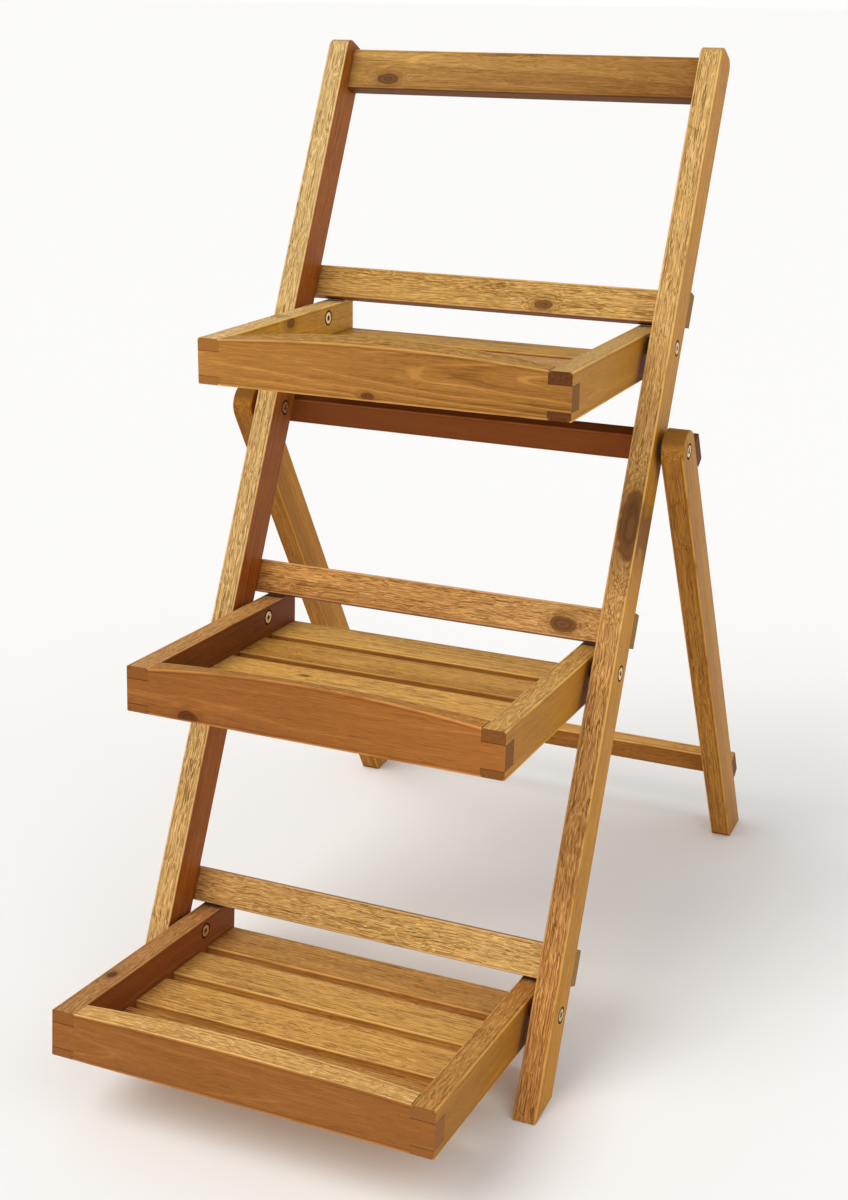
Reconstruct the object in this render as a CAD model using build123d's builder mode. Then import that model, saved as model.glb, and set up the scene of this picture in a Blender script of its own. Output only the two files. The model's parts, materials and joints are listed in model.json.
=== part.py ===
from build123d import *
import os
from math import cos, radians, sin, tan

# Folding three-tray ladder shelf in oiled acacia. Millimetres and degrees.
# X runs to the right, Y to the back, Z up. The origin is on the floor, in the
# middle of the footprint of the opened shelf.

# ---- Driving dimensions -------------------------------------------------
lean_angle = 28.3            # uprights lean back and legs splay back by this much
frame_width = 420.0          # over the outer faces of the two uprights
stock_width = 22.0           # uprights, legs and tray sides, measured along X
stock_depth = 40.0           # uprights and legs, front to back
upright_length = 1020.0
upright_top_radius = 12.0
edge_radius = 1.5            # sanded long edges
pivot_depth = 23.5           # bolt axes behind the front face of an upright
side_gap = 6.5               # upright to tray side, and upright to leg
stop_gap = 0.2               # air left where two moving pieces rest on each other

rail_height = 43.0
rail_thickness = 18.0
rail_setback = 16.5
rail_top = 1014.0            # along the upright

bar_height = 33.0            # back slats, crossbar and stretcher
bar_thickness = 13.0

leg_pivot_height = 625.0     # along the upright
stretcher_clearance = 1.5    # folded stretcher to the lowest back slat

tray_first_pivot = 95.0      # along the upright
tray_pitch = 314.0
tray_tilts = {"bottom": 7.5, "middle": 4.8, "top": 2.5}   # front edge raised
tray_length = 280.0
tray_height = 43.0
tray_front_thickness = 20.0
tray_pivot_back = 223.0      # tray front face to the pivot
tray_pivot_up = 30.5         # tray underside to the pivot
tray_crowns = {              # rise of the arched front board: front face, back face
    "bottom": (2.5, 6.5),
    "middle": (10.0, 5.5),
    "top": (6.5, 11.0),
}
crown_edge_radius = 1.5
finger_low = 8.0             # box joint: top of the lower finger
finger_high = 31.0           # box joint: underside of the upper finger
slat_count = 4
slat_width = 52.0
slat_gap = 12.5
slat_thickness = 12.0

head_radius = 5.9            # pivot bolt and sleeve nut
head_height = 2.5
head_recess_radius = 8.0
socket_radius = 2.9
socket_depth = 1.8
sleeve_radius = 4.0
sleeve_end = 44.0            # from the face under the nut's head side
shank_radius = 3.0
shank_start = 20.0
fixed_clearance = 0.05
running_clearance = 0.08
spacer_radius = 8.0
spacer_running_gap = 0.3

screw_head_radius = 4.0
screw_head_height = 2.2
screw_radius = 1.9
screw_length = 35.0
screw_socket_radius = 1.5
screw_socket_depth = 1.2
screw_spread = 8.0           # either side of a bar's centre line

rail_dowel_radius = 4.0
rail_dowel_length = 36.0
rail_dowel_in_upright = 16.0
rail_dowel_spread = 11.0
slat_dowel_radius = 3.0
slat_dowel_length = 24.0
slat_dowel_spread = 15.0

# ---- Worked-out places --------------------------------------------------
lean = radians(lean_angle)
open_angle = 2 * lean                          # between upright and leg
half_frame = frame_width / 2
upright_inner = half_frame - stock_width
tray_half = upright_inner - side_gap
tray_inner = tray_half - stock_width
leg_inner = half_frame + side_gap
leg_outer = leg_inner + stock_width
tray_names = list(tray_tilts)
sides = {"left": -1, "right": 1}


def along_upright(up, back):
    """Y and Z of a point, measured from the front corner of an upright's foot."""
    return up * sin(lean) + back * cos(lean), up * cos(lean) - back * sin(lean)


def tray_pivot(tray):
    return tray_first_pivot + tray_pitch * tray_names.index(tray)


def back_slat_low(tray):
    """Height along the upright at which a back slat's rear edge stops the tray."""
    angle = lean - radians(tray_tilts[tray])
    behind_pivot = stock_depth + bar_thickness - pivot_depth
    above_pivot = tray_height - tray_pivot_up + stop_gap
    return tray_pivot(tray) + (above_pivot + behind_pivot * sin(angle)) / cos(angle)


# The crossbar's upper edge meets the uprights' rear faces when the legs are open.
crossbar_low = (stock_depth - pivot_depth + stop_gap - stock_depth / 2 * cos(open_angle)) / sin(open_angle)
stretcher_low = leg_pivot_height - back_slat_low("bottom") + stretcher_clearance

leg_pivot_y, leg_pivot_z = along_upright(leg_pivot_height, pivot_depth)
foot_back_down = (leg_pivot_z + stock_depth / 2 * sin(lean)) / cos(lean)
foot_front_down = (leg_pivot_z - stock_depth / 2 * sin(lean)) / cos(lean)

bottom_tilt = radians(tray_tilts["bottom"])
rearmost = leg_pivot_y + foot_back_down * sin(lean) + stock_depth / 2 * cos(lean)
frontmost = (along_upright(tray_first_pivot, pivot_depth)[0]
             - tray_pivot_back * cos(bottom_tilt) - tray_pivot_up * sin(bottom_tilt))
foot_y = -(frontmost + rearmost) / 2           # front corner of the uprights' feet


# ---- Working planes -----------------------------------------------------
def upright_plane(x):
    """Local X runs up the upright, local Y to its back, and the normal to -X."""
    return Plane(origin=(x, foot_y, 0), x_dir=(0, sin(lean), cos(lean)), z_dir=(-1, 0, 0))


def leg_plane(x):
    """Local X runs down the leg from its pivot, local Y to its back, normal +X."""
    return Plane(origin=(x, foot_y + leg_pivot_y, leg_pivot_z),
                 x_dir=(0, sin(lean), -cos(lean)), z_dir=(1, 0, 0))


def tray_plane(tray, x):
    """Local X runs back from the tray's front face, local Y up, normal +X."""
    tilt = radians(tray_tilts[tray])
    y, z = along_upright(tray_pivot(tray), pivot_depth)
    back = Vector(0, cos(tilt), -sin(tilt))
    up = Vector(0, sin(tilt), cos(tilt))
    corner = Vector(x, foot_y + y, z) - back * tray_pivot_back - up * tray_pivot_up
    return Plane(origin=corner, x_dir=back, z_dir=(1, 0, 0))


def tray_front_plane(tray, depth):
    """Plane of the front board, depth behind its front face. Local Y is up."""
    side_plane = tray_plane(tray, 0)
    return Plane(origin=side_plane.origin + side_plane.x_dir * depth,
                 x_dir=(1, 0, 0), z_dir=-side_plane.x_dir)


def rear_face_plane(side_plane, x, along, back, inward):
    """Plane on a bar's rear face at one screw, with its normal into the wood."""
    spot = side_plane.from_local_coords(Vector(along, back, 0))
    return Plane(origin=(x, spot.Y, spot.Z), x_dir=(1, 0, 0), z_dir=inward)


# ---- Shapes shared by several pieces ------------------------------------
def x_cylinder(spot, x_start, x_end, radius, mode=Mode.ADD):
    """Cylinder along X through the point spot, from x_start to x_end."""
    with BuildSketch(Plane(origin=(x_start, spot.Y, spot.Z), z_dir=(1, 0, 0))) as circle:
        Circle(radius)
    extrude(circle.sketch, amount=x_end - x_start, mode=mode)


def x_socket(spot, x_start, x_end):
    """Hexagon socket along X, cut from x_start to x_end."""
    with BuildSketch(Plane(origin=(x_start, spot.Y, spot.Z), z_dir=(1, 0, 0))) as hexagon:
        RegularPolygon(socket_radius, 6)
    extrude(hexagon.sketch, amount=x_end - x_start, mode=Mode.SUBTRACT)


def screw(plane, clearance=0.0, mode=Mode.ADD):
    """Countersunk screw, or the hole for it, from plane along its normal."""
    with BuildSketch(plane) as head:
        Circle(screw_head_radius + clearance)
    with BuildSketch(plane.offset(screw_head_height)) as neck:
        Circle(screw_radius + clearance)
    loft([head.sketch.face(), neck.sketch.face()], mode=mode)
    extrude(neck.sketch, amount=screw_length - screw_head_height + clearance, mode=mode)


def screw_socket(plane):
    with BuildSketch(plane) as hexagon:
        RegularPolygon(screw_socket_radius, 6)
    extrude(hexagon.sketch, amount=screw_socket_depth, mode=Mode.SUBTRACT)


def soften(piece, direction, radius=edge_radius):
    """Round the long edges that run along direction."""
    fillet(piece.edges().filter_by(Axis((0, 0, 0), direction)), radius=radius)


def keep(piece, name):
    piece.part.label = name
    export_step(piece.part, f"parts/{name}.step")


# ---- Places of the fasteners --------------------------------------------
leg_spot = leg_plane(0).origin
tray_spots = {tray: Vector(0, foot_y + along_upright(tray_pivot(tray), pivot_depth)[0],
                           along_upright(tray_pivot(tray), pivot_depth)[1])
              for tray in tray_names}
into_upright = Vector(0, -cos(lean), sin(lean))
into_leg = Vector(0, -cos(lean), -sin(lean))


def back_slat_screws_at(tray, side):
    middle = back_slat_low(tray) + bar_height / 2
    x = side * (half_frame - stock_width / 2)
    return [rear_face_plane(upright_plane(0), x, middle + offset, stock_depth + bar_thickness,
                            into_upright)
            for offset in (-screw_spread, screw_spread)]


def leg_bar_screws_at(low, side):
    middle = low + bar_height / 2
    x = side * (leg_outer - stock_width / 2)
    return [rear_face_plane(leg_plane(0), x, middle + offset, stock_depth / 2 + bar_thickness,
                            into_leg)
            for offset in (-screw_spread, screw_spread)]


def rail_dowel_spots():
    middle = rail_top - rail_height / 2
    depth = rail_setback + rail_thickness / 2
    return [upright_plane(0).from_local_coords(Vector(middle + offset, depth, 0))
            for offset in (-rail_dowel_spread, rail_dowel_spread)]


def slat_middle(number):
    """Centre of a tray slat behind the tray's front face. Slat 4 is at the rear."""
    return tray_length - slat_width / 2 - (slat_count - number) * (slat_width + slat_gap)


def slat_dowel_spots(tray, number):
    return [tray_plane(tray, 0).from_local_coords(
                Vector(slat_middle(number) + offset, slat_thickness / 2, 0))
            for offset in (-slat_dowel_spread, slat_dowel_spread)]


# ---- Ladder frame -------------------------------------------------------
def make_upright(name):
    side = sides[name]
    outer = side * half_frame
    inner = side * upright_inner
    with BuildPart() as upright:
        with BuildSketch(upright_plane(max(outer, inner))) as profile:
            with BuildLine():
                Polyline((0, 0), (upright_length, 0), (upright_length, stock_depth),
                         (stock_depth * tan(lean), stock_depth), close=True)
            make_face()
            fillet(profile.vertices().sort_by(Axis.X)[-2:], radius=upright_top_radius)
        extrude(amount=stock_width)
        soften(upright, (0, sin(lean), cos(lean)))
        for spot in tray_spots.values():
            x_cylinder(spot, inner, outer, sleeve_radius + fixed_clearance, Mode.SUBTRACT)
            x_cylinder(spot, outer - side * head_height, outer, head_recess_radius, Mode.SUBTRACT)
        x_cylinder(leg_spot, inner, outer, sleeve_radius + fixed_clearance, Mode.SUBTRACT)
        x_cylinder(leg_spot, inner, inner + side * head_height, head_recess_radius, Mode.SUBTRACT)
        for spot in rail_dowel_spots():
            x_cylinder(spot, inner, inner + side * rail_dowel_in_upright,
                       rail_dowel_radius + fixed_clearance, Mode.SUBTRACT)
        for tray in tray_names:
            for plane in back_slat_screws_at(tray, side):
                screw(plane, fixed_clearance, Mode.SUBTRACT)
    keep(upright, f"upright_{name}")


def make_top_rail():
    with BuildPart() as top_rail:
        with BuildSketch(upright_plane(upright_inner)):
            with Locations((rail_top - rail_height / 2, rail_setback + rail_thickness / 2)):
                Rectangle(rail_height, rail_thickness)
        extrude(amount=2 * upright_inner)
        soften(top_rail, (1, 0, 0), 2 * edge_radius)
        for side in sides.values():
            for spot in rail_dowel_spots():
                depth = rail_dowel_length - rail_dowel_in_upright
                x_cylinder(spot, side * upright_inner, side * (upright_inner - depth),
                           rail_dowel_radius + fixed_clearance, Mode.SUBTRACT)
    keep(top_rail, "top_rail")


def make_back_slat(tray):
    with BuildPart() as back_slat:
        with BuildSketch(upright_plane(half_frame)):
            with Locations((back_slat_low(tray) + bar_height / 2, stock_depth + bar_thickness / 2)):
                Rectangle(bar_height, bar_thickness)
        extrude(amount=frame_width)
        soften(back_slat, (1, 0, 0))
        for side in sides.values():
            for plane in back_slat_screws_at(tray, side):
                screw(plane, fixed_clearance, Mode.SUBTRACT)
    keep(back_slat, f"back_slat_{tray}")


def make_rail_dowels():
    with BuildPart() as rail_dowels:
        for side in sides.values():
            outer = side * (upright_inner + rail_dowel_in_upright)
            for spot in rail_dowel_spots():
                x_cylinder(spot, outer, outer - side * rail_dowel_length, rail_dowel_radius)
    keep(rail_dowels, "rail_dowels")


def make_back_slat_screws():
    with BuildPart() as back_slat_screws:
        for tray in tray_names:
            for side in sides.values():
                for plane in back_slat_screws_at(tray, side):
                    screw(plane)
                    screw_socket(plane)
    keep(back_slat_screws, "back_slat_screws")


# ---- Pivot hardware: sleeve nut from inside, bolt from outside, spacer between
def make_pivot_nuts(name, spots, inner_face):
    with BuildPart() as pivot_nuts:
        for side in sides.values():
            start = side * inner_face
            for spot in spots:
                x_cylinder(spot, start, start + side * head_height, head_radius)
                x_cylinder(spot, start, start + side * sleeve_end, sleeve_radius)
                x_cylinder(spot, start + side * (shank_start - 1), start + side * sleeve_end,
                           shank_radius + fixed_clearance, Mode.SUBTRACT)
                x_socket(spot, start, start + side * socket_depth)
    keep(pivot_nuts, f"{name}_pivot_nuts")


def make_pivot_bolts(name, spots, inner_face):
    stack = 2 * stock_width + side_gap
    with BuildPart() as pivot_bolts:
        for side in sides.values():
            outer = side * (inner_face + stack)
            for spot in spots:
                x_cylinder(spot, outer, outer - side * head_height, head_radius)
                x_cylinder(spot, outer, outer - side * (stack - shank_start), shank_radius)
                x_socket(spot, outer, outer - side * socket_depth)
    keep(pivot_bolts, f"{name}_pivot_bolts")


def make_pivot_spacers(name, spots, start, end):
    """Spacer rings that touch the upright's face at start and stop just short of end."""
    with BuildPart() as pivot_spacers:
        for side in sides.values():
            for spot in spots:
                x_cylinder(spot, side * start, side * end, spacer_radius)
                x_cylinder(spot, side * start, side * end, sleeve_radius + fixed_clearance,
                           Mode.SUBTRACT)
    keep(pivot_spacers, f"{name}_pivot_spacers")


# ---- Rear legs ----------------------------------------------------------
def make_rear_leg(name):
    side = sides[name]
    outer = side * leg_outer
    inner = side * leg_inner
    half_depth = stock_depth / 2
    with BuildPart() as rear_leg:
        with BuildSketch(leg_plane(min(outer, inner))):
            with BuildLine():
                Polyline((0, half_depth), (foot_back_down, half_depth),
                         (foot_front_down, -half_depth), (0, -half_depth))
                ThreePointArc((0, -half_depth), (-half_depth, 0), (0, half_depth))
            make_face()
        extrude(amount=stock_width)
        soften(rear_leg, (0, sin(lean), -cos(lean)))
        x_cylinder(leg_spot, inner, outer, sleeve_radius + running_clearance, Mode.SUBTRACT)
        recess = head_height + spacer_running_gap
        x_cylinder(leg_spot, outer - side * recess, outer, head_recess_radius, Mode.SUBTRACT)
        for low in (crossbar_low, stretcher_low):
            for plane in leg_bar_screws_at(low, side):
                screw(plane, fixed_clearance, Mode.SUBTRACT)
    keep(rear_leg, f"rear_leg_{name}")


def make_leg_bar(name, low):
    with BuildPart() as leg_bar:
        with BuildSketch(leg_plane(-leg_outer)):
            with Locations((low + bar_height / 2, stock_depth / 2 + bar_thickness / 2)):
                Rectangle(bar_height, bar_thickness)
        extrude(amount=2 * leg_outer)
        soften(leg_bar, (1, 0, 0))
        for side in sides.values():
            for plane in leg_bar_screws_at(low, side):
                screw(plane, fixed_clearance, Mode.SUBTRACT)
    keep(leg_bar, name)


def make_leg_bar_screws():
    with BuildPart() as leg_bar_screws:
        for low in (crossbar_low, stretcher_low):
            for side in sides.values():
                for plane in leg_bar_screws_at(low, side):
                    screw(plane)
                    screw_socket(plane)
    keep(leg_bar_screws, "leg_bar_screws")


# ---- Trays --------------------------------------------------------------
def make_tray_front(tray):
    with BuildPart() as tray_front:
        for depth, crown in zip((0, tray_front_thickness), tray_crowns[tray]):
            with BuildSketch(tray_front_plane(tray, depth)):
                with BuildLine():
                    ThreePointArc((-tray_inner, tray_height), (0, tray_height + crown),
                                  (tray_inner, tray_height))
                    Polyline((tray_inner, tray_height), (tray_inner, 0), (-tray_inner, 0),
                             (-tray_inner, tray_height))
                make_face()
        loft()
        front_face = tray_front.faces().sort_by(Axis.Y)[0]
        crest = front_face.edges().sort_by(Axis.Z)[-1]
        fillet(crest, radius=crown_edge_radius)
        with BuildSketch(tray_front_plane(tray, 0)):
            with Locations((0, (finger_low + finger_high) / 2)):
                Rectangle(2 * tray_half, finger_high - finger_low)
        extrude(amount=-tray_front_thickness)
    keep(tray_front, f"tray_{tray}_front")


def make_tray_side(tray, name):
    side = sides[name]
    outer = side * tray_half
    inner = side * tray_inner
    spot = tray_spots[tray]
    with BuildPart() as tray_side:
        with BuildSketch(tray_plane(tray, min(outer, inner))):
            with BuildLine():
                Polyline((0, 0), (tray_length, 0), (tray_length, tray_height), (0, tray_height),
                         (0, finger_high), (tray_front_thickness, finger_high),
                         (tray_front_thickness, finger_low), (0, finger_low), close=True)
            make_face()
        extrude(amount=stock_width)
        upper = tray_side.faces().sort_by(tray_axis(tray))[-1]
        fillet(upper.edges().filter_by(Axis((0, 0, 0), tray_plane(tray, 0).x_dir)),
               radius=edge_radius)
        x_cylinder(spot, inner, outer, sleeve_radius + running_clearance, Mode.SUBTRACT)
        recess = head_height + spacer_running_gap
        x_cylinder(spot, inner, inner + side * recess, head_recess_radius, Mode.SUBTRACT)
        for number in range(1, slat_count + 1):
            for dowel_spot in slat_dowel_spots(tray, number):
                x_cylinder(dowel_spot, inner, inner + side * slat_dowel_length / 2,
                           slat_dowel_radius + fixed_clearance, Mode.SUBTRACT)
    keep(tray_side, f"tray_{tray}_side_{name}")


def tray_axis(tray):
    """Axis square to the tray's floor, pointing up."""
    plane = tray_plane(tray, 0)
    return Axis(plane.origin, plane.y_dir)


def make_tray_slat(tray, number):
    with BuildPart() as tray_slat:
        with BuildSketch(tray_plane(tray, -tray_inner)):
            with Locations((slat_middle(number), slat_thickness / 2)):
                Rectangle(slat_width, slat_thickness)
        extrude(amount=2 * tray_inner)
        soften(tray_slat, (1, 0, 0))
        for side in sides.values():
            for spot in slat_dowel_spots(tray, number):
                x_cylinder(spot, side * tray_inner, side * (tray_inner - slat_dowel_length / 2),
                           slat_dowel_radius + fixed_clearance, Mode.SUBTRACT)
    keep(tray_slat, f"tray_{tray}_slat_{number}")


def make_tray_dowels(tray):
    with BuildPart() as tray_dowels:
        for side in sides.values():
            start = side * (tray_inner - slat_dowel_length / 2)
            for number in range(1, slat_count + 1):
                for spot in slat_dowel_spots(tray, number):
                    x_cylinder(spot, start, start + side * slat_dowel_length, slat_dowel_radius)
    keep(tray_dowels, f"tray_{tray}_dowels")


# ---- Build every piece --------------------------------------------------
os.makedirs("parts", exist_ok=True)

make_top_rail()
make_rail_dowels()
make_back_slat_screws()
make_pivot_nuts("tray", tray_spots.values(), tray_inner)
make_pivot_bolts("tray", tray_spots.values(), tray_inner)
make_pivot_spacers("tray", tray_spots.values(), upright_inner, tray_half + spacer_running_gap)
make_pivot_nuts("leg", [leg_spot], upright_inner)
make_pivot_bolts("leg", [leg_spot], upright_inner)
make_pivot_spacers("leg", [leg_spot], half_frame, leg_inner - spacer_running_gap)
make_leg_bar("leg_crossbar", crossbar_low)
make_leg_bar("leg_stretcher", stretcher_low)
make_leg_bar_screws()
for side_name in sides:
    make_upright(side_name)
    make_rear_leg(side_name)
for tray_name in tray_names:
    make_back_slat(tray_name)
    make_tray_front(tray_name)
    make_tray_dowels(tray_name)
    for side_name in sides:
        make_tray_side(tray_name, side_name)
    for slat_number in range(1, slat_count + 1):
        make_tray_slat(tray_name, slat_number)
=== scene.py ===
"""Looks of a folding acacia ladder shelf: oiled boards with figured grain, zinc-plated pivot
hardware, a pale floor and soft studio light. Metres, in the CAD model's frame."""
import json
from math import radians

import bpy
from mathutils import Euler, Matrix, Vector

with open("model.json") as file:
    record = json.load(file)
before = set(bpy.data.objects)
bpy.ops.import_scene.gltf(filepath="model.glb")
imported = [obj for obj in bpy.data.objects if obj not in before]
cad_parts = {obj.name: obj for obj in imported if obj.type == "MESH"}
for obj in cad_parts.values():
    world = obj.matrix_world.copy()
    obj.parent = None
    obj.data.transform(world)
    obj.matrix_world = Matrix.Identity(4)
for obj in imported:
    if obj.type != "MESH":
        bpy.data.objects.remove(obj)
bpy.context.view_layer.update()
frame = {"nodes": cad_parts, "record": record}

# ---- Frame facts ----------------------------------------------------------
JOINTS = {joint["child"]: joint for joint in frame["record"]["behaviour"]["joints"]}
LEAN = JOINTS["rear_legs"]["range_deg"][1] / 2      # uprights lean back, legs splay back


def body_angle(body):
    """Turn about X, in degrees, from a level board to the boards of this body."""
    if body == "ladder_frame":
        return -LEAN
    if body == "rear_legs":
        return LEAN
    folded = JOINTS[body]["range_deg"][1]
    return folded - 90 - LEAN


# ---- Colours --------------------------------------------------------------
def srgb(red, green, blue):
    """Linear colour from eight-bit display values."""
    def linear(value):
        value /= 255
        return value / 12.92 if value <= 0.04045 else ((value + 0.055) / 1.055) ** 2.4
    return (linear(red), linear(green), linear(blue), 1.0)


# Each board's mean tones: the rough, rubbed faces first, then its planed and oiled faces. Each
# tone is set to how bright its faces look, so besides the wood's colour it holds painted light and
# shade.
TONES = {
    "upright_left": ((189, 149, 89), (158, 91, 32)),
    "upright_right": ((183, 134, 73), (189, 130, 38)),
    "top_rail": ((167, 122, 60), (130, 82, 38)),
    "back_slat_bottom": ((200, 155, 88), (150, 100, 48)),
    "back_slat_middle": ((197, 144, 79), (145, 92, 44)),
    "back_slat_top": ((187, 142, 74), (150, 100, 48)),
    "rear_leg_left": ((175, 118, 40), (189, 129, 38)),
    "rear_leg_right": ((179, 123, 48), (179, 122, 36)),
    "leg_crossbar": ((139, 76, 28), (100, 52, 20)),
    "leg_stretcher": ((163, 102, 33), (216, 164, 91)),
    "tray_bottom_front": ((197, 148, 81), (146, 91, 40)),
    "tray_bottom_side_left": ((168, 117, 64), (138, 77, 35)),
    "tray_bottom_side_right": ((173, 121, 58), (163, 108, 33)),
    "tray_middle_front": ((175, 120, 53), (163, 102, 46)),
    "tray_middle_side_left": ((179, 127, 68), (122, 68, 24)),
    "tray_middle_side_right": ((187, 141, 73), (175, 118, 39)),
    "tray_top_front": ((165, 118, 55), (164, 111, 49)),
    "tray_top_side_left": ((201, 160, 97), (208, 155, 54)),
    "tray_top_side_right": ((180, 140, 78), (172, 118, 39)),
    "tray_bottom_slat_1": ((180, 128, 62), (187, 129, 58)),
    "tray_bottom_slat_2": ((206, 154, 79), (175, 117, 51)),
    "tray_bottom_slat_3": ((201, 152, 78), (187, 129, 58)),
    "tray_bottom_slat_4": ((196, 144, 71), (197, 136, 68)),
    "tray_middle_slat_1": ((190, 138, 72), (160, 106, 46)),
    "tray_middle_slat_2": ((209, 157, 78), (160, 106, 46)),
    "tray_middle_slat_3": ((188, 137, 60), (160, 106, 46)),
    "tray_middle_slat_4": ((202, 152, 71), (160, 106, 46)),
    "tray_top_slat_1": ((180, 130, 68), (160, 106, 46)),
    "tray_top_slat_2": ((185, 135, 72), (160, 106, 46)),
    "tray_top_slat_3": ((180, 130, 70), (160, 106, 46)),
    "tray_top_slat_4": ((180, 132, 52), (160, 106, 46)),
}
DOWEL_TONES = ((186, 140, 84), (176, 128, 72))

# Figure by material slot: ring spacing (m), then strengths of rings, fibres and pale flecks, the
# darkness of end grain, and the board axis that its rough faces look along.
KINDS = {
    "upright_wood": (0.0060, 0.30, 0.80, 1.00, 0.45, "Y"),
    "leg_wood": (0.0065, 0.30, 0.65, 0.20, 0.45, "Y"),
    "crossbar_wood": (0.0080, 0.15, 0.14, 0.05, 0.40, "Z"),
    "back_slat_wood": (0.0055, 0.35, 0.80, 0.95, 0.40, "Z"),
    "rail_wood": (0.0075, 0.50, 0.45, 0.25, 0.40, "Z"),
    "tray_front_wood": (0.0060, 0.35, 0.45, 1.00, 0.30, "Y"),
    "tray_side_wood": (0.0065, 0.40, 0.55, 0.90, 0.45, "Y"),
    "tray_slat_wood": (0.0060, 0.60, 0.74, 0.60, 0.35, "Z"),
    "dowel_beech": (0.0020, 0.30, 0.50, 0.10, 0.20, "Y"),
}
# Boards that differ from their kind: ring spacing, rings, fibres, flecks and end grain.
ODD_BOARDS = {
    "leg_stretcher": (0.0065, 0.30, 0.60, 0.30, 0.40),
    "tray_top_front": (0.0046, 1.00, 0.55, 1.00, 0.30),
    "tray_top_side_right": (0.0065, 0.25, 0.35, 0.60, 1.00),
    "tray_middle_side_right": (0.0065, 0.40, 0.55, 0.90, 0.60),
}
# Where a board's rings centre, across it and below it (m), and how the pith drifts along it.
PITHS = {
    "tray_top_front": (0.004, -0.022, 0.008, 0.040),
    "top_rail": (0.004, -0.024, -0.030, 0.050),
    "tray_middle_front": (-0.003, -0.020, 0.010, 0.020),
    "back_slat_middle": (-0.010, -0.018, 0.040, 0.040),
}
# Knots (m): centre in the board's axes, then half-sizes, of which the branch's own is zero.
KNOTS = {
    "top_rail": ((-0.1423, -0.0112, 0), (0.0110, 0.0062, 0)),
    "back_slat_top": ((0.0627, -0.0075, 0), (0.0105, 0.0050, 0)),
    "back_slat_middle": ((0.1412, -0.0040, 0), (0.0125, 0.0068, 0)),
    "tray_top_front": ((-0.0091, -0.0227, 0), (0.0060, 0.0035, 0)),
    "tray_middle_front": ((-0.1190, -0.0227, 0), (0.0100, 0.0060, 0)),
    "tray_top_side_left": ((0.0010, 0.0160, 0), (0.0075, 0.0055, 0)),
    "tray_bottom_side_left": ((-0.0606, 0, -0.0020), (0.0060, 0, 0.0042)),
    "tray_middle_slat_2": ((-0.0699, 0.0039, 0), (0.0048, 0.0021, 0)),
    "upright_right": ((0.0330, 0, -0.0030), (0.0310, 0, 0.0118)),
}
FAR = 9                                   # well away from every board (m)
NO_KNOT = ((FAR, FAR, FAR), (0.001, 0.001, 0))
# Boards whose colour shifts along their length: gains (red, green, blue) from the middle to the
# far end, on the rough faces and on the oiled ones.
FADES = {
    "upright_left": ((0.01, 0.08, 0.16), (0.0, 0.0, 0.0)),
    "upright_right": ((0.09, 0.26, 0.38), (0.0, 0.0, 0.0)),
    "top_rail": ((-0.26, -0.37, -0.48), (-0.10, -0.10, -0.10)),
    "back_slat_bottom": ((0.22, 0.32, 0.38), (0.12, 0.12, 0.12)),
    "back_slat_middle": ((0.05, 0.12, 0.24), (0.0, 0.0, 0.0)),
    "back_slat_top": ((0.11, 0.16, 0.24), (0.0, 0.0, 0.0)),
    "leg_crossbar": ((0.05, 0.05, 0.05), (0.05, 0.05, 0.05)),
    "tray_top_front": ((0.0, 0.0, 0.0), (-0.08, -0.08, -0.08)),
    "tray_middle_front": ((0.08, 0.08, 0.08), (0.12, 0.13, 0.12)),
    "tray_top_side_right": ((-0.05, -0.05, -0.05), (-0.05, -0.05, -0.05)),
}
NO_FADE = ((0, 0, 0), (0, 0, 0))
# Darker heartwood: height across the board where it starts, slope of that line, and strength.
HEARTWOOD = {
    "top_rail": (0.001, -0.060, 0.55),
    "rear_leg_left": (-0.004, 0.012, 0.45),
    "rear_leg_right": (0.002, -0.010, 0.30),
    "back_slat_middle": (-0.008, -0.055, 0.40),
    "tray_middle_front": (0.029, -0.004, 0.25),
    "tray_middle_slat_3": (-0.010, 0.020, 0.35),
    "tray_bottom_slat_4": (0.016, 0.030, 0.40),
}
NO_HEARTWOOD = (-FAR, 0, 0)


# ---- Node building --------------------------------------------------------
def new_material(name):
    """A material, its node helper and its surface shader."""
    material = bpy.data.materials.new(name)
    material.use_nodes = True
    return material, Nodes(material.node_tree), material.node_tree.nodes["Principled BSDF"]


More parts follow.
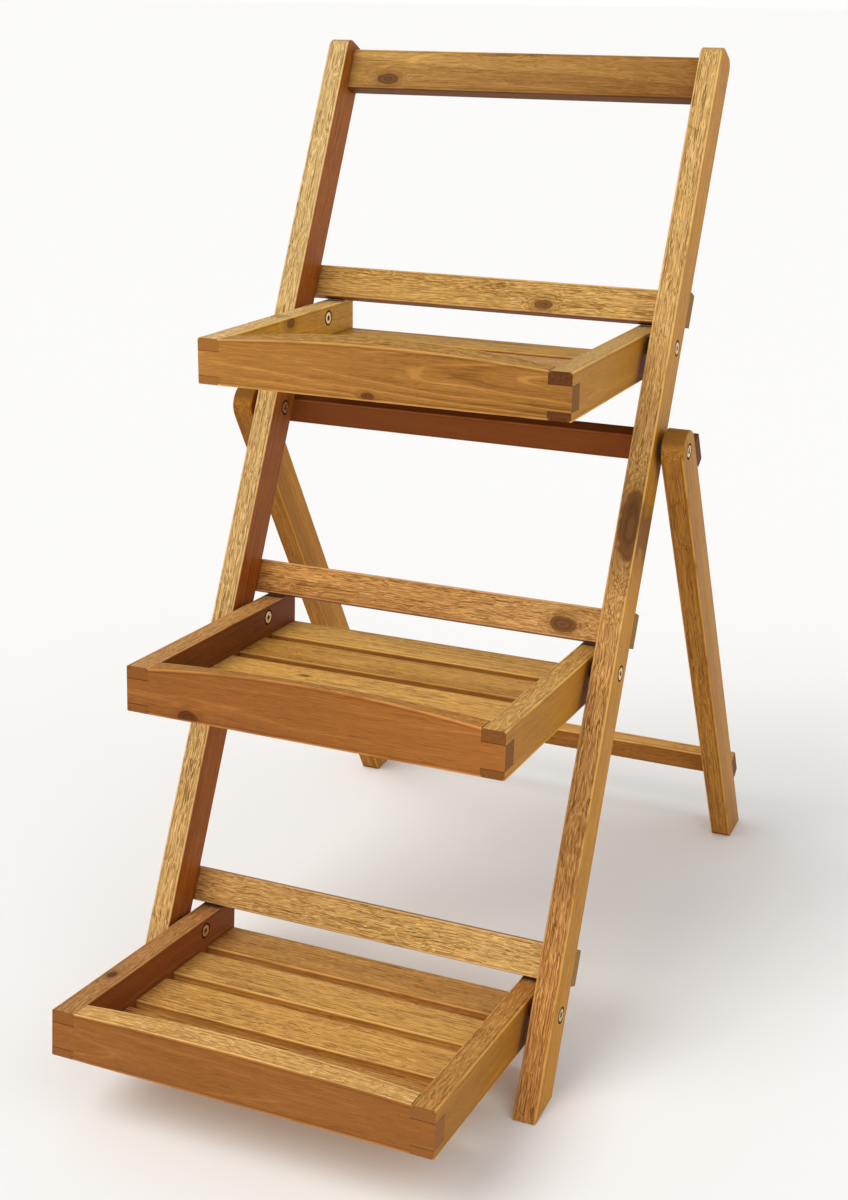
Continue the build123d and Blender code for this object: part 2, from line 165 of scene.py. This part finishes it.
class Nodes:
    """Short names for the shader nodes that the materials are made of."""

    def __init__(self, tree):
        self.tree = tree

    def add(self, kind, inputs=(), **settings):
        node = self.tree.nodes.new("ShaderNode" + kind)
        for name, value in settings.items():
            setattr(node, name, value)
        for key, value in dict(inputs).items():
            self.feed(node.inputs[key], value)
        return node

    def feed(self, socket, value):
        if isinstance(value, bpy.types.NodeSocket):
            self.tree.links.new(value, socket)
        else:
            socket.default_value = value

    def math(self, operation, *values, clamp=False):
        node = self.add("Math", enumerate(values), operation=operation, use_clamp=clamp)
        return node.outputs[0]

    def sum(self, first, *others):
        for other in others:
            first = self.math("ADD", first, other)
        return first

    def times(self, first, *others):
        for other in others:
            first = self.math("MULTIPLY", first, other)
        return first

    def less(self, first, second):
        return self.math("SUBTRACT", first, second)

    def size(self, value):
        return self.math("ABSOLUTE", value)

    def vector(self, operation, first, second):
        node = self.add("VectorMath", {0: first, 1: second}, operation=operation)
        return node.outputs["Value" if operation == "DOT_PRODUCT" else "Vector"]

    def stretch(self, vector, along, across):
        return self.vector("MULTIPLY", vector, (along, across, across))

    def split(self, vector):
        return self.add("SeparateXYZ", {0: vector}).outputs

    def join(self, x, y, z):
        return self.add("CombineXYZ", {0: x, 1: y, 2: z}).outputs[0]

    def noise(self, vector, detail=2.0, roughness=0.5):
        inputs = {"Vector": vector, "Scale": 1.0, "Detail": detail, "Roughness": roughness}
        return self.add("TexNoise", inputs).outputs["Fac"]

    def centred(self, vector, detail=2.0, roughness=0.5):
        return self.less(self.noise(vector, detail, roughness), 0.5)

    def occlusion_shade(self, reach):
        """One where neighbours within reach hide the surface, nought in the open: the mask of
        painted shade in creases.
        """
        node = self.add("AmbientOcclusion", {"Distance": reach}, samples=6)
        return self.smooth(node.outputs["AO"], 0.78, 0.30)

    def smooth(self, value, low, high):
        inputs = {"Value": value, "From Min": low, "From Max": high}
        return self.add("MapRange", inputs, interpolation_type="SMOOTHSTEP").outputs["Result"]

    def bump(self, shader, height, strength, distance):
        inputs = {"Height": height, "Strength": strength, "Distance": distance}
        self.feed(shader.inputs["Normal"], self.add("Bump", inputs).outputs[0])

    def mix(self, factor, first, second, blend="MIX"):
        node = self.add("Mix", data_type="RGBA", blend_type=blend)
        self.feed(node.inputs[0], factor)
        self.feed(node.inputs[6], first)
        self.feed(node.inputs[7], second)
        return node.outputs[2]

    def tint(self, colour, gain):
        return self.mix(1.0, colour, gain, "MULTIPLY")


GROUP_INPUTS = {
    "Vector": ("Board", "Normal", "Half", "Seed", "Pith", "Drift", "Knot", "Knot Scale",
               "Heartwood", "Rough Fade", "Oiled Fade", "Crown", "Rough Axis", "Joint"),
    "Float": ("Ring", "Rings", "Fibres", "Flecks", "End"),
    "Color": ("Rough Tone", "Oiled Tone", "End Tone"),
}
GROUP_OUTPUTS = {"Color": ("Color",), "Float": ("Roughness", "Height")}

# Gains on a board's own tone.
DARKER = (0.46, 0.36, 0.26, 1)        # dark fibres, pores and end grain, and the painted shade inside long edges
PALER = (1.42, 1.52, 1.72, 1)         # pale fibres
FLECK_AND_HIGHLIGHT_GAIN = (1.70, 1.95, 2.50, 1)     # pale flecks with painted glints, and the painted highlight on long edges
HEART_TINT = (0.62, 0.50, 0.42, 1)    # heartwood
HALO_TINT = (0.60, 0.50, 0.42, 1)     # wood round a knot
KNOT_DARK = (0.30, 0.25, 0.27, 1)     # a knot's swirl, darkest
KNOT_BROWN = (0.44, 0.36, 0.38, 1)    # a knot's swirl, palest
SEAM_TINT = (0.22, 0.16, 0.12, 1)     # lines round the fingers of a corner joint
CREASE_SHADE_TINT = (0.24, 0.17, 0.12, 1)   # painted shade in the creases where boards meet
METAL_CREASE_SHADE = (0.05, 0.035, 0.025, 1)  # painted shade in the metal's creases, on its own colour

# Size and strength of the wood's features, and of the painted shade in creases.
KNOT_REACH = -0.30       # exponent of the parting round a knot, by squared knot radii
KNOT_BEND = 0.85         # how far fibres and rings bend aside for a knot
KNOT_SWELL = 0.0040      # shift of the growth rings beside a knot (m)
WANDER, WAVE = 0.010, 0.0010             # sideways sway of the fibres (m)
RING_WARP, RING_RIPPLE = 0.014, 0.0026   # unevenness of the growth rings (m)
HEART_WARP, HEART_RIPPLE = 0.022, 0.004  # unevenness of the heartwood's edge (m)
RING_GAIN, LINE_GAIN = 0.36, 0.75
FIBRE_GAIN, STREAK_GAIN, BLOTCH_GAIN = 2.40, 1.05, 0.55
ARCH_HALF = 0.1595       # half the width of the front boards' arched tops (m)
BOARD_SHADE_REACH, METAL_SHADE_REACH = 0.005, 0.003   # how near a neighbour must be to paint shade into a crease (m)


def acacia_group():
    """Node group that figures one board. Noise is stretched in cells per metre, and tone runs
    from nought, darkest, through a half, the board's own colour, to one and more, palest."""
    tree = bpy.data.node_groups.new("acacia", "ShaderNodeTree")
    for direction, sockets in (("INPUT", GROUP_INPUTS), ("OUTPUT", GROUP_OUTPUTS)):
        for kind, names in sockets.items():
            for name in names:
                tree.interface.new_socket(name, in_out=direction,
                                          socket_type="NodeSocket" + kind)
    n = Nodes(tree)
    given = tree.nodes.new("NodeGroupInput").outputs
    x, y, z = n.split(given["Board"])
    half_x, half_y, half_z = n.split(given["Half"])
    normal = given["Normal"]
    rough_face = n.smooth(n.size(n.vector("DOT_PRODUCT", normal, given["Rough Axis"])), 0.45, 0.85)

    # A knot: its distance field, and the fibres that part around it.
    from_knot = n.vector("SUBTRACT", given["Board"], given["Knot"])
    to_knot = n.vector("MULTIPLY", from_knot, given["Knot Scale"])
    square = n.vector("DOT_PRODUCT", to_knot, to_knot)
    knot_distance = n.math("SQRT", square)
    parting = n.math("EXPONENT", n.times(square, KNOT_REACH))
    _, knot_y, knot_z = n.split(from_knot)
    bent_y = n.less(y, n.times(knot_y, parting, KNOT_BEND))
    bent_z = n.less(z, n.times(knot_z, parting, KNOT_BEND))
    bent = n.join(x, bent_y, bent_z)
    grain = n.vector("ADD", bent, given["Seed"])

    # Fibres wander a little sideways along the board.
    wander = n.centred(n.stretch(grain, 16, 22), detail=2)
    wave = n.centred(n.stretch(grain, 85, 40), detail=1)
    sway = n.sum(n.times(wander, WANDER), n.times(wave, WAVE))
    flow = n.vector("ADD", grain, n.join(0.0, sway, sway))

    # Growth rings round a pith line that runs nearly along the board.
    pith_y, pith_z, _ = n.split(given["Pith"])
    drift_y, drift_z, _ = n.split(given["Drift"])
    off_y = n.less(n.less(bent_y, pith_y), n.times(x, drift_y))
    off_z = n.less(n.less(bent_z, pith_z), n.times(x, drift_z))
    radius = n.math("SQRT", n.sum(n.times(off_y, off_y), n.times(off_z, off_z)))
    warp = n.centred(n.stretch(grain, 3.0, 15), detail=2)
    ripple = n.centred(n.stretch(grain, 13, 70), detail=2)
    radius = n.sum(radius, n.times(warp, RING_WARP), n.times(ripple, RING_RIPPLE))
    radius = n.sum(radius, n.times(parting, KNOT_SWELL))
    phase = n.math("FRACT", n.math("DIVIDE", radius, given["Ring"]))
    late = n.times(n.smooth(phase, 0.20, 0.80), n.smooth(phase, 1.0, 0.86))
    line = n.times(n.smooth(phase, 0.02, 0.08), n.smooth(phase, 0.17, 0.10))
    presence = n.smooth(n.noise(n.stretch(grain, 5, 40), detail=1), 0.36, 0.60)

    # Fibres, pores and broad changes of tone.
    fibre = n.centred(n.stretch(flow, 13, 1150), detail=2, roughness=0.60)
    streak = n.centred(n.stretch(flow, 8, 320), detail=2, roughness=0.55)
    blotch = n.centred(n.stretch(grain, 4.5, 18), detail=2)
    pores = n.smooth(n.noise(n.stretch(flow, 40, 1350), detail=1), 0.56, 0.68)
    fleck = n.smooth(n.noise(n.stretch(flow, 70, 1500), detail=1, roughness=0.6), 0.50, 0.60)
    patchy = n.smooth(n.noise(n.stretch(grain, 12, 45), detail=2), 0.06, 0.42)

    fibres = n.times(given["Fibres"], n.sum(1.0, n.times(rough_face, 0.7)))
    tone = n.sum(0.5, n.times(n.less(0.35, late), given["Rings"], presence, RING_GAIN))
    tone = n.sum(tone, n.times(line, given["Rings"], presence, LINE_GAIN))
    tone = n.sum(tone, n.times(fibre, fibres, FIBRE_GAIN))
    tone = n.sum(tone, n.times(streak, fibres, STREAK_GAIN))
    tone = n.sum(tone, n.times(blotch, BLOTCH_GAIN))
    # The rough and oiled faces take separate tones, which carry painted light and shade as well as
    # the wood's colour.
    base = n.mix(rough_face, given["Oiled Tone"], given["Rough Tone"])
    reach = n.math("DIVIDE", x, half_x)
    fade = n.mix(rough_face, given["Oiled Fade"], given["Rough Fade"])
    reaches = n.join(reach, reach, reach)
    gain = n.vector("ADD", n.vector("MULTIPLY", fade, reaches), (1, 1, 1))
    base = n.tint(base, gain)
    heart_y, heart_slope, heart_strength = n.split(given["Heartwood"])
    heart_line = n.sum(heart_y, n.times(x, heart_slope), n.times(warp, HEART_WARP),
                       n.times(ripple, HEART_RIPPLE))
    heartwood = n.times(n.smooth(n.less(bent_y, heart_line), 0.0012, -0.0012), heart_strength)
    base = n.mix(heartwood, base, n.tint(base, HEART_TINT))
    dark = n.tint(base, DARKER)
    pale = n.tint(base, PALER)
    fleck_and_highlight = n.tint(base, FLECK_AND_HIGHLIGHT_GAIN)
    colour = n.mix(n.smooth(tone, -0.10, 0.52), dark, base)
    colour = n.mix(n.smooth(tone, 0.48, 1.15), colour, pale)
    colour = n.mix(n.times(pores, n.sum(0.10, n.times(fibres, 0.14))), colour, dark)
    rough = n.times(rough_face, given["Flecks"])
    # Pale flecks of broken fibre on the rough faces, brightened further as painted glints of
    # sheen.
    colour = n.mix(n.times(fleck, patchy, n.sum(n.times(rough, 0.85), 0.06)), colour, fleck_and_highlight)

    # Knots: a browner halo, a dark rim and a dull swirled heart.
    frayed = n.sum(knot_distance, n.times(ripple, 0.9), n.times(wave, 0.5))
    halo = n.smooth(frayed, 2.3, 0.9)
    heart = n.smooth(frayed, 1.08, 0.84)
    swirl = n.math("SINE", n.sum(n.times(frayed, 11.0), n.times(wander, 9.0)))
    swirl = n.times(n.sum(swirl, 1.0), 0.5)
    knot_dark = n.tint(base, KNOT_DARK)
    knot_brown = n.tint(base, KNOT_BROWN)
    colour = n.mix(n.times(halo, 0.55), colour, n.tint(base, HALO_TINT))
    colour = n.mix(heart, colour, n.mix(swirl, knot_dark, knot_brown))

    # End grain drinks more oil, and shows a dark line round each finger of a corner joint.
    end = n.smooth(n.size(n.split(normal)[0]), 0.70, 0.92)
    end_pores = n.noise(n.vector("MULTIPLY", grain, (300, 420, 420)), detail=2)
    end_dark = n.tint(given["End Tone"], DARKER)
    end_dark = n.mix(n.times(given["End"], n.sum(0.35, end_pores)), given["End Tone"], end_dark)
    colour = n.mix(end, colour, end_dark)
    joint_low, joint_high, _ = n.split(given["Joint"])
    seam = n.math("MINIMUM", n.size(n.less(y, joint_low)), n.size(n.less(y, joint_high)))
    seam = n.times(end, n.smooth(seam, 0.0011, 0.0003))
    colour = n.mix(n.times(seam, 0.8), colour, n.tint(base, SEAM_TINT))

    # Long edges get a painted highlight, broken up unevenly, with a band of painted shade just
    # inside them.
    depth = n.math("DIVIDE", z, half_z)
    crown_peak, crown_middle, crown_slope = n.split(given["Crown"])
    span = n.math("DIVIDE", x, ARCH_HALF)
    arch = n.math("MAXIMUM", n.less(1.0, n.times(span, span)), 0.0)
    rise = n.times(arch, n.sum(crown_middle, n.times(crown_slope, depth)))
    top = n.sum(n.less(half_y, crown_peak), rise)
    from_y = n.math("MINIMUM", n.less(top, y), n.sum(y, half_y))
    from_z = n.less(half_z, n.size(z))
    corner = n.math("MAXIMUM", from_y, from_z)
    highlight_breakup = n.smooth(n.noise(n.stretch(grain, 20, 90), detail=2), 0.28, 0.56)
    painted_edge_highlight = n.times(n.smooth(corner, 0.0019, 0.0008), highlight_breakup)
    painted_edge_shade = n.times(n.smooth(corner, 0.0019, 0.0024), n.smooth(corner, 0.0038, 0.0026))
    colour = n.mix(n.times(painted_edge_shade, 0.42), colour, dark)
    colour = n.mix(n.times(painted_edge_highlight, 0.80), colour, fleck_and_highlight)

    # Painted shade darkens the creases where pieces meet.
    colour = n.mix(n.times(n.occlusion_shade(BOARD_SHADE_REACH), 0.80), colour, n.tint(base, CREASE_SHADE_TINT))

    sheen = n.sum(0.44, n.times(fibre, 0.35), n.times(rough, 0.14), n.times(end, 0.15))
    height = n.sum(n.times(fibre, n.sum(0.5, rough)), n.times(fleck, rough, 0.5),
                   n.times(pores, -0.45), n.times(late, -0.12))
    result = tree.nodes.new("NodeGroupOutput").inputs
    tree.links.new(colour, result["Color"])
    tree.links.new(sheen, result["Roughness"])
    tree.links.new(height, result["Height"])
    return tree


ACACIA = acacia_group()


def board_axes(node, body):
    """Rotation from the model's axes to the board's: X along it, Y across, Z through it."""
    turn = Matrix.Rotation(radians(body_angle(body)), 3, "X")
    level = [turn @ Vector(axis) for axis in ((1, 0, 0), (0, 1, 0), (0, 0, 1))]
    points = [vertex.co for vertex in frame["nodes"][node].data.vertices]
    spans = []
    for axis in level:
        values = [point.dot(axis) for point in points]
        spans.append((max(values) - min(values), (max(values) + min(values)) / 2, axis))
    spans.sort(key=lambda span: -span[0])
    x_axis, y_axis = spans[0][2], spans[1][2]
    z_axis = x_axis.cross(y_axis)
    middle = sum((span[1] * span[2] for span in spans), Vector())
    rotation = Matrix((x_axis, y_axis, z_axis))
    half = Vector((spans[0][0] / 2, spans[1][0] / 2, spans[2][0] / 2))
    return rotation, middle, half


# End grain of the corner joints' fingers, where the stain has taken as on the board beside them.
END_TONES = {
    "tray_bottom_front": (160, 104, 52),
    "tray_middle_front": (140, 88, 42),
    "tray_top_front": (140, 92, 46),
    "tray_bottom_side_left": (158, 100, 48),
    "tray_middle_side_left": (156, 98, 46),
    "tray_top_side_left": (176, 120, 58),
    "tray_bottom_side_right": (160, 104, 54),
    "tray_middle_side_right": (150, 96, 48),
    "tray_top_side_right": (134, 84, 48),
}
FINGER_LOW, FINGER_HIGH = 0.008, 0.031    # heights where the corner joints' fingers meet
# Rise of the front boards' arched tops: at the front face and at the back one.
CROWNS = {
    "tray_bottom_front": (0.0025, 0.0065),
    "tray_middle_front": (0.0100, 0.0055),
    "tray_top_front": (0.0065, 0.0110),
}
AXES = {"Y": (0, 1, 0), "Z": (0, 0, 1)}
# Steps from one board's number to the next that scatter its pith and shift its noise.
JITTER_STEP, CHANCE_STEP = 0.6180339887, 0.7548776662
SEED_STEPS = (1.37, 0.731, 0.293)
END_SHADE = 0.82                          # a board's end grain against its rough faces
WOOD_SPECULAR, WOOD_IOR = 0.25, 1.25      # a dull oiled surface


def finger_joint(slot, half):
    """Heights across a tray's board where its corner fingers meet their neighbours."""
    if slot not in ("tray_front_wood", "tray_side_wood"):
        return (FAR, FAR, 0)
    bottom = -half.y
    return (bottom + FINGER_LOW, bottom + FINGER_HIGH, 0)


def wood(node, body, slot, number):
    """Material of one board, figured along its own length."""
    ring, rings, fibres, flecks, end, axis = KINDS[slot]
    if node in ODD_BOARDS:
        ring, rings, fibres, flecks, end = ODD_BOARDS[node]
    rough_tone, oiled_tone = TONES.get(node, DOWEL_TONES)
    rotation, middle, half = board_axes(node, body)
    material, n, shader = new_material(node + "_acacia")
    place = n.add("TexCoord").outputs
    turn = rotation.to_euler()
    mapped = n.add("Mapping", {"Vector": place["Object"], "Location": -(rotation @ middle),
                               "Rotation": turn}, vector_type="POINT").outputs[0]
    normal = n.add("Mapping", {"Vector": place["Normal"], "Rotation": turn},
                   vector_type="VECTOR").outputs[0]
    jitter = (number * JITTER_STEP) % 1.0
    chance = (number * CHANCE_STEP) % 1.0
    pith = PITHS.get(node, ((jitter - 0.5) * 2.0 * half.y, -half.z - 0.006 - 0.02 * chance,
                            (jitter - 0.5) * 0.05, (chance - 0.5) * 0.08))
    knot_place, knot_size = KNOTS.get(node, NO_KNOT)
    end_tone = END_TONES.get(node, [END_SHADE * part for part in rough_tone])
    rises = CROWNS.get(node, (0, 0))
    fades = FADES.get(node, NO_FADE)
    figure = n.add("Group", node_tree=ACACIA)
    values = {"Board": mapped, "Normal": normal, "Half": half,
              "Seed": [number * step for step in SEED_STEPS],
              "Pith": (pith[0], pith[1], 0), "Drift": (pith[2], pith[3], 0),
              "Knot": knot_place, "Knot Scale": [1 / size if size else 0 for size in knot_size],
              "Rough Axis": AXES[axis], "Joint": finger_joint(slot, half),
              "Ring": ring, "Rings": rings, "Fibres": fibres, "Flecks": flecks, "End": end,
              "Crown": (max(rises), sum(rises) / 2, (rises[0] - rises[1]) / 2),
              "Heartwood": HEARTWOOD.get(node, NO_HEARTWOOD),
              "Rough Fade": fades[0], "Oiled Fade": fades[1],
              "Rough Tone": srgb(*rough_tone), "Oiled Tone": srgb(*oiled_tone),
              "End Tone": srgb(*end_tone)}
    for name, value in values.items():
        n.feed(figure.inputs[name], value)
    n.feed(shader.inputs["Base Color"], figure.outputs["Color"])
    n.feed(shader.inputs["Roughness"], figure.outputs["Roughness"])
    n.bump(shader, figure.outputs["Height"], 0.6, 0.0006)
    shader.inputs["Specular IOR Level"].default_value = WOOD_SPECULAR
    shader.inputs["IOR"].default_value = WOOD_IOR
    return material


def metal(name, clean, dull, roughness):
    """Plated steel with fine turning marks, faint stains and duller patches, and painted shade in
    its creases.
    """
    material, n, shader = new_material(name)
    place = n.add("TexCoord").outputs["Object"]
    stain = n.noise(n.vector("MULTIPLY", place, (320, 320, 320)), detail=3)
    brush = n.noise(n.vector("MULTIPLY", place, (200, 2600, 2600)), detail=2)
    tone = n.smooth(stain, 0.42, 0.70)
    plated = n.mix(tone, clean, dull)
    # Painted shade: the plating darkens where neighbours hide it, in the sockets and round the
    # heads' recesses.
    crease_shade = n.tint(plated, METAL_CREASE_SHADE)
    n.feed(shader.inputs["Base Color"], n.mix(n.occlusion_shade(METAL_SHADE_REACH), plated, crease_shade))
    rough = n.sum(n.times(brush, 0.18), n.times(tone, 0.15), roughness)
    n.feed(shader.inputs["Roughness"], rough)
    n.bump(shader, brush, 0.25, 0.0001)
    shader.inputs["Metallic"].default_value = 1.0
    return material


def nylon(name):
    """Dark moulded spacer plastic, slightly scuffed."""
    material, n, shader = new_material(name)
    place = n.add("TexCoord").outputs["Object"]
    scuff = n.noise(n.vector("MULTIPLY", place, (500, 500, 500)), detail=3)
    n.feed(shader.inputs["Base Color"], n.mix(scuff, srgb(38, 30, 26), srgb(66, 54, 46)))
    n.feed(shader.inputs["Roughness"], n.sum(n.times(scuff, 0.25), 0.42))
    n.bump(shader, scuff, 0.2, 0.0001)
    return material


# ---- Dress every CAD node -------------------------------------------------
def dress_nodes():
    slots = {part["node"]: part["material_slot"] for part in frame["record"]["subparts"]}
    bodies = frame["record"]["behaviour"]["bodies"]
    hardware = {
        "pivot_steel": metal("pivot_steel", srgb(236, 212, 164), srgb(178, 146, 98), 0.26),
        "screw_steel": metal("screw_steel", srgb(206, 206, 204), srgb(138, 136, 132), 0.30),
        "spacer_nylon": nylon("spacer_nylon"),
    }
    number = 0
    for body, members in bodies.items():
        for node in members:
            number += 1
            slot = slots[node]
            material = hardware.get(slot) or wood(node, body, slot, number)
            mesh = frame["nodes"][node].data
            mesh.materials.clear()
            mesh.materials.append(material)


dress_nodes()


# ---- Floor, light and camera ---------------------------------------------
FLOOR_REACH = 30.0           # half the floor's side (m)
FLOOR_DROP = 0.0005          # the floor lies this much under the feet (m)
SKY, SKY_LOW = 0.52, 0.48    # the sky's strength, and what is added towards the ground


def make_floor():
    mesh = bpy.data.meshes.new("floor")
    corners = [(x * FLOOR_REACH, y * FLOOR_REACH, 0)
               for x, y in ((-1, -1), (1, -1), (1, 1), (-1, 1))]
    mesh.from_pydata(corners, [], [(0, 1, 2, 3)])
    floor = bpy.data.objects.new("floor", mesh)
    floor.location.z = -FLOOR_DROP
    bpy.context.scene.collection.objects.link(floor)
    material, _, shader = new_material("pale_floor")
    shader.inputs["Base Color"].default_value = (0.96, 0.96, 0.96, 1)
    shader.inputs["Roughness"].default_value = 0.9
    shader.inputs["Specular IOR Level"].default_value = 0.1
    mesh.materials.append(material)


def soft_sun(name, source, strength, spread, colour=(1, 1, 1)):
    """Broad even light from a direction, soft like a large studio panel far away."""
    light = bpy.data.lights.new(name, "SUN")
    light.energy = strength
    light.angle = radians(spread)
    light.color = colour
    lamp = bpy.data.objects.new(name, light)
    lamp.location = source
    lamp.rotation_euler = Vector(source).to_track_quat("Z", "Y").to_euler()
    bpy.context.scene.collection.objects.link(lamp)


def make_light():
    world = bpy.data.worlds.new("studio")
    world.use_nodes = True
    n = Nodes(world.node_tree)
    background = world.node_tree.nodes["Background"]
    height = n.split(n.add("TexCoord").outputs["Generated"])[2]
    n.feed(background.inputs["Color"], (1.0, 0.995, 0.985, 1))
    low = n.smooth(height, 0.40, 0.05)
    n.feed(background.inputs["Strength"], n.sum(n.times(low, SKY_LOW), SKY))
    bpy.context.scene.world = world
    soft_sun("key_light", (-0.45, -0.62, 1.0), 1.55, 38, (1.0, 0.99, 0.96))
    soft_sun("fill_light", (0.9, -0.5, 0.7), 0.45, 60)


CAMERA_PLACE = (0.6368, -1.4403, 0.9835)    # (m)
CAMERA_YAW = 22.726          # degrees to the left of straight ahead
CAMERA_PITCH = -19.142       # degrees up from level
CAMERA_LENGTH = 1.4389       # focal length over the frame's height
CAMERA_SHIFT = (-0.0247, -0.0429)


def make_camera():
    data = bpy.data.cameras.new("camera")
    data.sensor_fit = "VERTICAL"
    data.sensor_height = 36.0
    data.lens = data.sensor_height * CAMERA_LENGTH
    data.shift_x, data.shift_y = CAMERA_SHIFT
    camera = bpy.data.objects.new("camera", data)
    camera.location = CAMERA_PLACE
    camera.rotation_euler = Euler((radians(90 + CAMERA_PITCH), 0, radians(CAMERA_YAW)))
    bpy.context.scene.collection.objects.link(camera)
    bpy.context.scene.camera = camera


make_floor()
make_light()
make_camera()
bpy.context.scene.view_settings.view_transform = "Standard"
